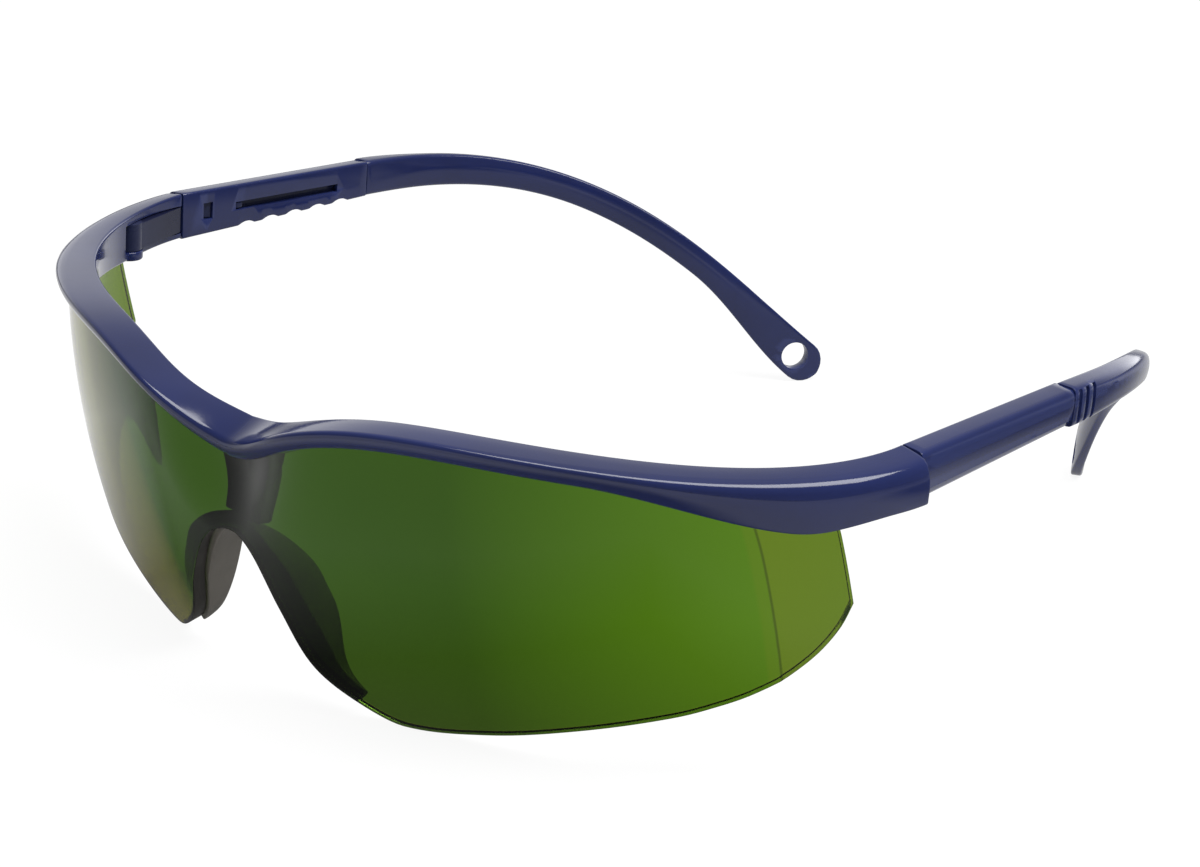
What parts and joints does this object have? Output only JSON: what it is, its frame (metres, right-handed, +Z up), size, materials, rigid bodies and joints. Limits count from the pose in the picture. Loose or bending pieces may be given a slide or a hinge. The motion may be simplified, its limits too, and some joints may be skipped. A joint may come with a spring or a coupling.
{
  "type": "welding spectacles",
  "caption": "Wrap-round welding spectacles with a one-piece green lens, a navy brow bar, a soft nose saddle and side arms that fold and change length.",
  "frame": {"origin": "centre of the underside of the bounding box, with the spectacles standing open on the lens and the tips of both arms", "axes": "+X to the wearer's left, +Y to the wearer's back, +Z up; the lens faces -Y"},
  "size_m": [0.1506, 0.1665, 0.0462],
  "materials": {
    "frame_plastic": "gloss",
    "lens_green": "gloss",
    "soft_rubber": "matte",
    "pin_steel": "satin"
  },
  "bodies": {
    "frame": {"brow_frame": "frame_plastic", "lens": "lens_green", "nose_piece": "soft_rubber", "hinge_pin_left": "pin_steel", "hinge_pin_right": "pin_steel"},
    "arm_left": {"hinge_arm_left": "frame_plastic", "temple_sleeve_left": "frame_plastic"},
    "arm_right": {"hinge_arm_right": "frame_plastic", "temple_sleeve_right": "frame_plastic"},
    "tip_left": {"temple_tip_left": "frame_plastic"},
    "tip_right": {"temple_tip_right": "frame_plastic"}
  },
  "joints": [
    {"name": "fold_left", "type": "hinge", "parent": "frame", "child": "arm_left", "pos_m": [0.0684, -0.03942, 0.04463], "axis": [0, 0.0283, 0.9996], "range_deg": [0, 74]},
    {"name": "fold_right", "type": "hinge", "parent": "frame", "child": "arm_right", "pos_m": [-0.0684, -0.03942, 0.04463], "axis": [0, -0.0283, -0.9996], "range_deg": [0, 55]},
    {"name": "extend_left", "type": "slide", "parent": "arm_left", "child": "tip_left", "axis": [-0.0593, 0.9978, -0.0282], "range_m": [0, 0.0192]},
    {"name": "extend_right", "type": "slide", "parent": "arm_right", "child": "tip_right", "axis": [0.0593, 0.9978, -0.0282], "range_m": [0, 0.0192]}
  ]
}
